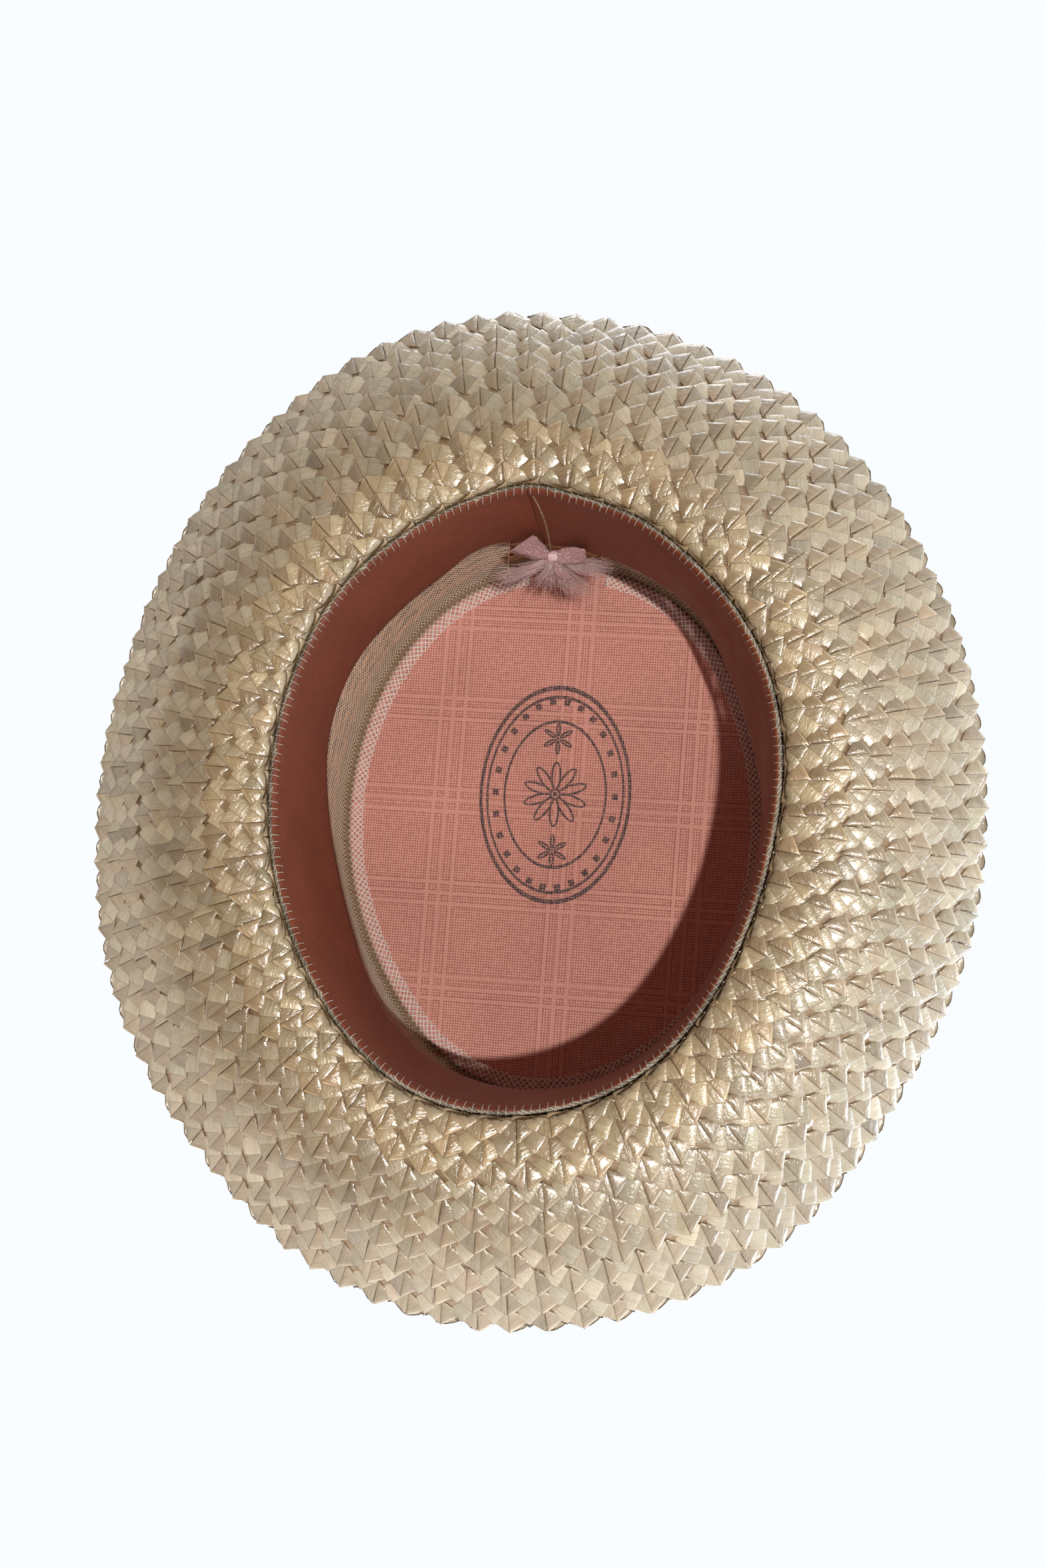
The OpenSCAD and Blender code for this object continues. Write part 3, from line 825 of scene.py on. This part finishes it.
def sweatband():
    """A leather strip that wraps the reed at its foot; its ends meet at the back."""
    t = around(721, close=True)
    t[[0, -1]] += BACK_SEAM, -BACK_SEAM
    steps = np.linspace(0, 1, 26)[:, None]
    turn = np.linspace(0.15, 1, 5)[:, None] * np.pi / 2
    foot_off = np.tile(FOOT_AT[0] - FOOT_R[0] * np.sin(turn), (1, t.size))
    foot_z = np.tile(FOOT_AT[1] - FOOT_R[1] * np.cos(turn), (1, t.size))
    off = -smooth_round(BAND_LEANS, t) * steps ** BAND_BOW - 0.6 + 0.6 * np.minimum(steps * 8, 1)
    top = BAND_TOP + 0.5 * np.sin(4 * t + 1) - 0.5
    z = BAND_FOOT + (top - BAND_FOOT) * steps
    offset = np.concatenate([foot_off, off]) + BAND_T / 2
    height = np.concatenate([foot_z, z])
    grid, _ = on_hat(offset, height, np.tile(t, (len(offset), 1)))
    points, faces = shell(grid, BAND_T)
    add_piece("sweatband_leather", ["sweatband"], points, faces, LEATHER)


REED_OFF, REED_Z, REED_R = 1.05, 2.1, 0.95


def reed():
    t = around(960)
    ring = np.linspace(0, 2 * np.pi, 10, endpoint=False)
    lumps = 1 + 0.06 * np.sin(61 * t) + 0.05 * np.sin(97 * t + 1)
    offset = REED_OFF + REED_R * np.cos(ring)[:, None] * lumps
    height = REED_Z + REED_R * np.sin(ring)[:, None] * lumps
    grid, _ = on_hat(offset, height, np.tile(t, (len(ring), 1)))
    faces = grid_faces(len(ring), len(t), wrap=True, close=True)
    oval = Oval(REED_OFF)
    run = np.interp(t, oval.t, oval.run)
    fibre = np.stack(np.meshgrid(np.arange(len(ring)) * 0.6, run, indexing="ij"), -1)
    maps = {"fibre": fibre[..., ::-1].reshape(-1, 2)}
    points = grid.reshape(-1, 3)
    add_piece("reed_cord_covered", ["sweatband_reed"], points, faces, REED_CORD, maps)


STITCH_GAP = 2.7
STITCH_R = 0.13
STITCH_SECTION = ((-0.85, 3.4), (-0.95, 2.8), (-0.55, 1.7), (0.5, 0.85), (1.6, 1.0), (2.5, 2.0))


def whipstitch():
    """Short stitches from the band over the reed into the straw."""
    rng = np.random.default_rng(SEED + 50)
    oval = Oval(0)
    count = round(oval.length / STITCH_GAP)
    run = (np.arange(count) + 0.5) * oval.length / count + rng.normal(0, 0.25, count)
    section = np.array(STITCH_SECTION)
    k = np.linspace(0, 1, len(section))
    length = rng.uniform(0.75, 1.1, (count, 1))
    runs = run[:, None] + rng.normal(0.5, 0.3, (count, 1)) * (k - 0.5)
    offset = section[:, 0] + rng.normal(0, 0.06, (count, len(k)))
    height = REED_Z + (section[:, 1] - REED_Z) * np.where(k < 0.4, length, 1.0)
    points, normal = on_hat(offset, height, oval.angle(runs))
    across = np.cross(normal, (0, 0, 1))
    points, faces = tubes(points, STITCH_R, sides=5, ref=across)
    add_piece("reed_stitches", ["reed_whipstitch"], points, faces, STITCH)


# -------- net

NET_SIDE_PITCH = 1.6  # distance along the oval between threads that slant the same way
NET_SIDE_R = 0.14
NET_LIFT = 0.45  # how far the net lies in from the wall
NET_SLOPE = 0.55  # run along the oval for each length up the wall
GAP_MIDDLE_Z = 47.0
GAPS = ((16, 0.05), (12, 0.18))  # run from the back to each end of the net, and its growth
NET_RIM_PITCH = 2.2
NET_RIM_R = 0.2
NET_RIM_W = 6.0  # width of the strip that is turned over the lining
NET_RIM_GAPS = (18.0, 12.0)


def net_ends(height):
    """Length along the oval from the back to the net's two ends at a height."""
    return [gap + growth * (height - GAP_MIDDLE_Z) for gap, growth in GAPS]


def net_side():
    """Threads slanted both ways over the inside of the crown's side."""
    foot, top = (corner[2] for corner in box_mm("net_side_band"))
    bend_z = LINING_Z - SHOULDER_R + 1.2
    bend = wall_offset(bend_z)
    section = [(wall_offset(z) - NET_LIFT, z) for z in np.linspace(foot, bend_z, 12)]
    section = np.array(section + [(bend - 0.8, bend_z + 1.6), (bend - 1.9, top)])
    length = np.concatenate([[0], np.cumsum(np.hypot(*np.diff(section, axis=0).T))])
    oval = Oval(wall_offset((foot + top) / 2))
    count = round(oval.length / NET_SIDE_PITCH)
    start = np.arange(count)[:, None] * oval.length / count
    right, left = net_ends(section[:, 1])
    sway = 0.12 * np.sin(start * 0.9 + length * 0.4)
    paths = []
    for way, lift in ((1, 0.0), (-1, -0.16)):
        run = np.clip(start + way * NET_SLOPE * length, right, oval.length - left)
        offset = section[:, 0] + lift + sway * 0.5
        path, _ = on_hat(offset, section[:, 1] + 0 * run, oval.angle(run + sway))
        paths.append(path)
    points, faces = tubes(np.concatenate(paths), NET_SIDE_R)
    piece = add_piece("net_side_threads", ["net_side_band"], points, faces, NET_SIDE)
    return piece, (oval.length - right.mean() - left.mean(), length[-1])


def net_rim():
    """The same net turned over the lining's rim: each thread goes in and comes back."""
    outer = box_mm("net_edging")[1][0] - HALF_W
    oval = Oval(outer - NET_RIM_W / 2)
    count = round(oval.length / NET_RIM_PITCH)
    rng = np.random.default_rng(SEED + 60)
    start = np.arange(count)[:, None] * oval.length / count + rng.normal(0, 0.08, (count, 1))
    k = np.array([0, 0.35, 0.7, 0.93, 1, 1.07, 1.3, 1.65, 2])
    depth = np.minimum(1 - np.abs(k - 1), 0.985)
    right, left = NET_RIM_GAPS
    run = np.clip(start + (k - 1) * NET_RIM_W, right, oval.length - left)
    reach = depth * (NET_RIM_W + rng.normal(0, 0.12, (count, 1)))
    height = LINING_Z - 0.34 + 0.09 * np.sign(k - 1) + 0 * run
    points, _ = on_hat(outer - reach, height, oval.angle(run))
    points, faces = tubes(points, NET_RIM_R)
    return add_piece("net_rim_threads", ["net_edging"], points, faces, NET_RIM)


# -------- lining


LINING_T = 0.3


def lining():
    """Cotton over the crown's tip, slack by a fraction of a millimetre."""
    edge = box_mm("tip_lining")[1][0] - HALF_W
    rings, count = 70, 360
    t = around(count)
    inset = np.linspace(0.001, 1, rings)[:, None]
    rim, _ = on_hat(np.full(count, edge), np.full(count, LINING_Z), t)
    x, y = rim[:, 0] * inset, rim[:, 1] * inset
    slack = 0.16 * np.sin(x / 13 + 1) * np.cos(y / 17) + 0.1 * np.sin((x + y) / 7)
    grid = np.stack([x, y, LINING_Z + LINING_T + slack * (1 - inset ** 4)], -1)
    points, faces = shell(grid, LINING_T, wrap=True)
    piece = add_piece("tip_lining_cotton", ["tip_lining"], points, faces, COTTON)
    return piece, (2 * (HALF_W + edge), 2 * (HALF_L + edge))


# -------- the bow inside


def ribbon(name, nodes, centre, half_width, material, thick=0.22, sag=0.0, cross_steps=9):
    """A ribbon along a centre line; half_width is a vector per point to its edge."""
    across = np.linspace(-1, 1, cross_steps)
    grid = centre[:, None] + half_width[:, None] * across[None, :, None]
    grid[..., 2] += sag * (1 - across ** 2)
    points, faces = shell(grid, thick)
    run = np.concatenate([[0], np.cumsum(np.linalg.norm(np.diff(centre, axis=0), axis=1))])
    size = np.linalg.norm(half_width, axis=1)
    fibre = np.stack([run[:, None] + 0 * across, size[:, None] * across], -1).reshape(-1, 2)
    add_piece(name, nodes, points, faces, material, {"fibre": np.tile(fibre, (2, 1))})


KNOT = np.array((-3.1, 89.9, 46.0))
VIEW = np.array((0.135, 0.25, 1.0))  # loops stand up along this line, clear of the band
LOOP_LEAN = 1.5  # how far they follow it for each millimetre that they rise
# Far end from the knot, direction of its fold, half widths at the knot, half way and fold
LOOPS = {
    "left": ((10.8, 4.8, 0), (-0.83, 0.56, 0), (1.1, 3.1, 4.9)),
    "right": ((-12.2, -0.3, 0), (0.15, 1, 0), (1.1, 3.3, 2.6)),
}
TAILS = {"left": ((17.0, -5.5, 10), 2.6), "right": ((-9.3, -11, 12), 2.4)}
# Loose fibres: where they end from the knot, how many, and how far they spread
FRAYS = {
    "left": ((18.4, -5.5, 10), 150, (2.2, 1.8, 2.0)),
    "middle": ((2.2, -7.5, 12), 190, (4.6, 1.4, 2.0)),
    "right": ((-17.5, -2.5, 9), 160, (2.6, 1.8, 2.0)),
    "low": ((-8.5, -9.5, 14), 170, (3.4, 1.6, 2.0)),
}


def bow_loop(side, end, slant, widths):
    """A flattened loop of ribbon, from the knot out to its fold and back."""
    turn = np.linspace(0.12, 1.88, 41) * np.pi
    out = (1 - np.cos(turn)) / 2
    depth = -1.5 * np.sin(turn) * (0.35 + out)
    centre = KNOT + out[:, None] * np.array(end) + depth[:, None] * (0, 0, 1)
    pucker = 1 + 0.05 * np.sin(turn * 7)
    size = np.interp(out, (0, 0.45, 1), widths) * pucker
    half = unit((1 - out[:, None]) * (0, 1, 0) + out[:, None] * np.array(slant))
    rise = np.maximum(centre[:, 1] - KNOT[1], 0)
    centre = centre - LOOP_LEAN * rise[:, None] * VIEW
    half = half - LOOP_LEAN * np.clip(half[:, 1:2], 0, 1) * VIEW * out[:, None]
    half = half * size[:, None]
    ribbon(f"bow_loop_{side}_satin", [f"bow_loop_{side}"], centre, half, SATIN, sag=-0.35)


TAIL_WHOLE = 0.62  # share of a tail's length that isn't frayed


def bow_tail(side, end, width):
    """The whole part of a tail, from the knot to where it starts to fray."""
    k = np.linspace(0, 1, 22)[:, None]
    bend = np.array((0, -1.5, 0)) * np.sin(np.pi * k)
    centre = KNOT + np.array(end) * k * TAIL_WHOLE + bend
    half = np.concatenate([0.9 * np.ones_like(k), 0.3 * np.cos(5 * k), 0.25 * np.sin(7 * k)], 1)
    half = unit(half) * (0.9 + (width - 0.9) * k ** 0.8)
    name, nodes = f"bow_tail_{side}_satin", [f"bow_tail_{side}"]
    ribbon(name, nodes, centre, half, SATIN, thick=0.15, sag=-0.5)


def fray(name, end, count, spread, seed):
    """Loose ribbon fibres that fan out from the knot towards an end point."""
    rng = np.random.default_rng(seed)
    k = np.linspace(0, 1, 12)[None, :, None]
    direction = unit(np.array(end, float))
    fan = rng.normal(0, 1, (count, 1, 3)) * spread
    start = KNOT + direction * 1.2 + rng.normal(0, 0.5, (count, 1, 3))
    length = rng.uniform(0.55, 1.12, (count, 1, 1))
    bend = np.array((0, -1.6, 0)) * np.sin(np.pi * k) * rng.uniform(0.2, 1, (count, 1, 1))
    paths = start + np.array(end) * k * length + fan * k ** 1.3 + bend
    curl = rng.uniform(0, 6.28, (count, 1, 3))
    paths = paths + np.sin(k * rng.uniform(6, 16, (count, 1, 1)) + curl) * 0.35 * k
    paths[..., 2] = np.minimum(paths[..., 2], LINING_Z - 0.6)
    points, faces = tubes(paths, rng.uniform(0.045, 0.085, (count, 1)), sides=3)
    add_piece(name, [], points, faces, FRAY)


def bow_knot():
    """Two turns of ribbon drawn tight round the loops."""
    turn = np.linspace(0, 2 * np.pi, 33)
    # The wraps are drawn in the pale fray thread, a painted glint on the knot
    for name, shift, radius, nodes in (("wrap", 0.0, 1.9, ["bow_knot"]), ("inner", -0.6, 1.7, [])):
        ring = [shift + 0.25 * np.sin(turn), radius * 0.95 * np.cos(turn), radius * np.sin(turn)]
        centre = KNOT + np.stack(ring, -1)
        half = np.stack([np.ones_like(turn), 0.25 * np.sin(2 * turn), 0 * turn], -1)
        half = unit(half) * (1.25 + 0.15 * np.cos(3 * turn))[:, None]
        ribbon("bow_knot_" + name, nodes, centre, half, FRAY, thick=0.3, cross_steps=7)


PLY_R = 0.16
PLY_TURNS = 7


def bow_thread():
    """Twisted thread from the stitched edge down to the knot."""
    k = np.linspace(0, 1, 31)
    top = np.array((-2.0, HALF_L - 0.6, 3.9))
    foot = KNOT + (0.1, 0.9, -1.6)
    path = top + (foot - top) * k[:, None]
    path[:, 0] -= 1.3 * np.sin(np.pi * k)
    path[:, 1] += 1.2 * np.sin(np.pi * k) * (0.5 - k)
    along = unit(np.gradient(path, axis=0))
    side = unit(np.cross(along, (0, 1, 0)))
    up = np.cross(side, along)
    turn = k[:, None] * 2 * np.pi * PLY_TURNS
    plies = [path + 0.17 * (side * np.cos(turn + a) + up * np.sin(turn + a)) for a in (0, np.pi)]
    points, faces = tubes(plies, PLY_R, sides=6, ref=(0, 1, 0))
    add_piece("bow_thread_plies", ["bow_thread"], points, faces, THREAD_TAN)


def bow():
    for side, loop in LOOPS.items():
        bow_loop(side, *loop)
    bow_knot()
    for side, tail in TAILS.items():
        bow_tail(side, *tail)
    for index, (name, fibres) in enumerate(FRAYS.items()):
        fray("bow_fray_" + name, *fibres, SEED + 70 + index)
    bow_thread()


# -------- the hatband outside

RIBBON_T = 0.6
RIBBON_INSET = 0.45  # from the solid's outer face to the ribbon's middle
BAND_PROUD = 1.0  # how far the ribbon stands off its solid, over the braid's points


def hatband():
    """Grosgrain ribbon round the foot of the crown."""
    low, high = box_mm("hatband")
    z = np.linspace(low[2], high[2], 12)[:, None]
    foot = high[0] - HALF_W - RIBBON_INSET + BAND_PROUD
    t = around(540)
    offset = foot + wall_offset(z) - wall_offset(z[0]) + 0.12 * np.sin(7 * t)
    grid, _ = on_hat(offset, z + 0 * t, np.tile(t, (len(z), 1)))
    points, faces = shell(grid, RIBBON_T, wrap=True)
    length = Oval(foot).length
    run = length / len(t) * np.arange(len(t))
    fibre = np.stack([run + 0 * z, z + 0 * run], -1).reshape(-1, 2)
    maps = {"fibre": np.tile(fibre, (2, 1))}
    piece = add_piece("hatband_grosgrain", ["hatband"], points, faces, GROSGRAIN, maps)
    return piece, (length, high[2] - low[2])


BOW_PROUD = 3.7
BOW_SAG = 3.2  # how far the loops' ends bend back round the crown
KNOT_HALF_Z = 12.8


def hatband_bow():
    """A flat bow on the wearer's left: two loops and a knot over them."""
    low, high = box_mm("hatband_bow")
    x = low[0] + BOW_PROUD + BAND_PROUD
    middle_z, half_z = (low[2] + high[2]) / 2, (high[2] - low[2]) / 2
    turn = np.linspace(0.05, 1.95, 41) * np.pi
    out = (1 - np.cos(turn)) / 2
    depth = 1.5 * np.sin(turn) - BOW_SAG * out ** 2
    half = np.stack([0 * out, 0 * out, half_z * (0.62 + 0.37 * out ** 0.7)], -1)
    for side, name, nodes in ((1, "back", ["hatband_bow"]), (-1, "front", [])):
        centre = np.stack([x + depth, side * (2 + (high[1] - 2.4) * out), middle_z + 0 * out], -1)
        name = "hatband_bow_" + name
        ribbon(name, nodes, centre, half, GROSGRAIN, thick=RIBBON_T, cross_steps=13)
    low, high = box_mm("hatband_bow_knot")
    turn = np.linspace(0, 2 * np.pi, 33)
    x, deep = (low[0] + high[0]) / 2 + BAND_PROUD, (high[0] - low[0]) / 2 - 0.35
    wide = (high[1] - low[1]) / 2 * (0.9 + 0.08 * np.cos(2 * turn))
    centre = np.stack([x + deep * np.cos(turn), 0 * turn, middle_z + KNOT_HALF_Z * np.sin(turn)], -1)
    half = np.stack([0 * turn, wide, 0 * turn], -1)
    nodes = ["hatband_bow_knot"]
    ribbon("hatband_knot_wrap", nodes, centre, half, GROSGRAIN, thick=RIBBON_T)


# -------- make the hat

braid()
sweatband()
reed()
whipstitch()
side_net, side_net_flat = net_side()
rim_net = net_rim()
tip_cloth, tip_flat = lining()
for slot in frame["nodes"]["lining_print"].material_slots:
    slot.material = INK
bow()
band_ribbon, band_flat = hatband()
hatband_bow()


# -------- stage, lights and camera


FLOOR_HALF = 4.0  # metres
FLOOR_Z = -0.0008  # just under the hat


def floor():
    """A pale floor that is seen and felt only from above."""
    s = Shader("floor", Roughness=0.9, Base_Color=(0.86, 0.86, 0.87, 1))
    back = s.add("NewGeometry").outputs["Backfacing"]
    clear = s.add("BsdfTransparent").outputs[0]
    mixed = s.add("MixShader", {0: back, 1: s.bsdf.outputs[0], 2: clear})
    output = s.tree.nodes["Material Output"]
    s.tree.links.new(mixed.outputs[0], output.inputs["Surface"])
    mesh = bpy.data.meshes.new("floor")
    corners = [(x * FLOOR_HALF, y * FLOOR_HALF, 0) for x, y in ((-1, -1), (1, -1), (1, 1), (-1, 1))]
    mesh.from_pydata(corners, [], [(0, 1, 2, 3)])
    mesh.materials.append(s.material)
    plane = bpy.data.objects.new("floor", mesh)
    plane.location.z = FLOOR_Z
    plane.visible_shadow = False
    link(plane)


AMBIENT = 0.12
BRIGHT_SIDE = (-0.8, -0.6, 0)  # towards the window


def world():
    """Pale studio: white behind the hat, dim all round, and a broad bright side and ceiling
    that only the glossy surfaces show."""
    background = bpy.data.worlds.new("studio")
    background.use_nodes = True
    s = Nodes(background.node_tree)
    node = s.tree.nodes["Background"]
    node.inputs["Color"].default_value = (0.95, 0.98, 1.0, 1)
    way = s.coords("Generated")
    turned = s.add("VectorMath", {0: way, 1: BRIGHT_SIDE}, operation="DOT_PRODUCT")
    side = s.remap(turned.outputs["Value"], -0.05, 0.5, 0.0, 2.0)
    ceiling = s.remap(s.split(way)["Z"], 0.1, 0.7, 0.0, 0.9)
    ray = s.add("LightPath")
    sheen = s.math("MAXIMUM", side, ceiling)
    seen = s.math("MULTIPLY_ADD", ray.outputs["Is Glossy Ray"], sheen, AMBIENT)
    s.feed(node.inputs["Strength"], s.math("MAXIMUM", ray.outputs["Is Camera Ray"], seen))
    bpy.context.scene.world = background


LENS = 45.9
SENSOR = 36
CAMERA_AT = (-94.8, -74.9, -639)
CAMERA_FORWARD = (0.1435, 0.1201, 0.9823)
CAMERA_UP = (0.0073, 0.9924, -0.1224)


def camera():
    """The photograph's view: from below and in front, up into the crown."""
    data = bpy.data.cameras.new("camera")
    data.sensor_fit = "VERTICAL"
    data.sensor_height = SENSOR
    data.lens = LENS
    cam = bpy.data.objects.new("camera", data)
    forward = Vector(CAMERA_FORWARD).normalized()
    right = forward.cross(Vector(CAMERA_UP)).normalized()
    up = right.cross(forward)
    turn = Matrix((right, up, -forward)).transposed().to_4x4()
    cam.matrix_world = Matrix.Translation(Vector(CAMERA_AT) * MM) @ turn
    link(cam)
    bpy.context.scene.camera = cam


def light(name, kind, at, energy, colour=(1, 1, 1), **settings):
    """A light at a place in metres, turned to shine on the hat."""
    lamp = bpy.data.lights.new(name, kind)
    lamp.energy = energy
    lamp.color = colour
    for key, value in settings.items():
        setattr(lamp, key, value)
    lit = bpy.data.objects.new(name, lamp)
    lit.location = at
    lit.rotation_euler = (-Vector(at)).to_track_quat("-Z", "Y").to_euler()
    lit.visible_camera = False
    link(lit)


# Sun up into the crown, a little from the camera's right and below, and soft lights round it
SUN_AT = (-0.225, -0.14, -0.92)
SOFT_LIGHTS = (
    ("side_window", (-1.2, -0.6, -0.1), 30, (0.74, 0.88, 1.0), 1.2),
    ("front_window", (-0.1, -1.0, -0.5), 4, (0.95, 0.97, 1.0), 0.9),
    ("fill", (0.35, 0.3, -1.1), 0.3, (1.0, 0.97, 0.94), 0.6),
    ("back_window", (-0.2, 1.4, 0.0), 16, (0.88, 0.94, 1.0), 1.2),
    ("top_soft", (0.5, -0.7, 1.3), 20, (1.0, 0.97, 0.92), 0.9),
)

light("key", "SUN", SUN_AT, 1.9, (1.0, 0.95, 0.87), angle=math.radians(1.6))
for name, at, watts, colour, size in SOFT_LIGHTS:
    light(name, "AREA", at, watts, colour, shape="DISK", size=size)
floor()
world()
camera()
bpy.context.scene.view_settings.view_transform = "Standard"
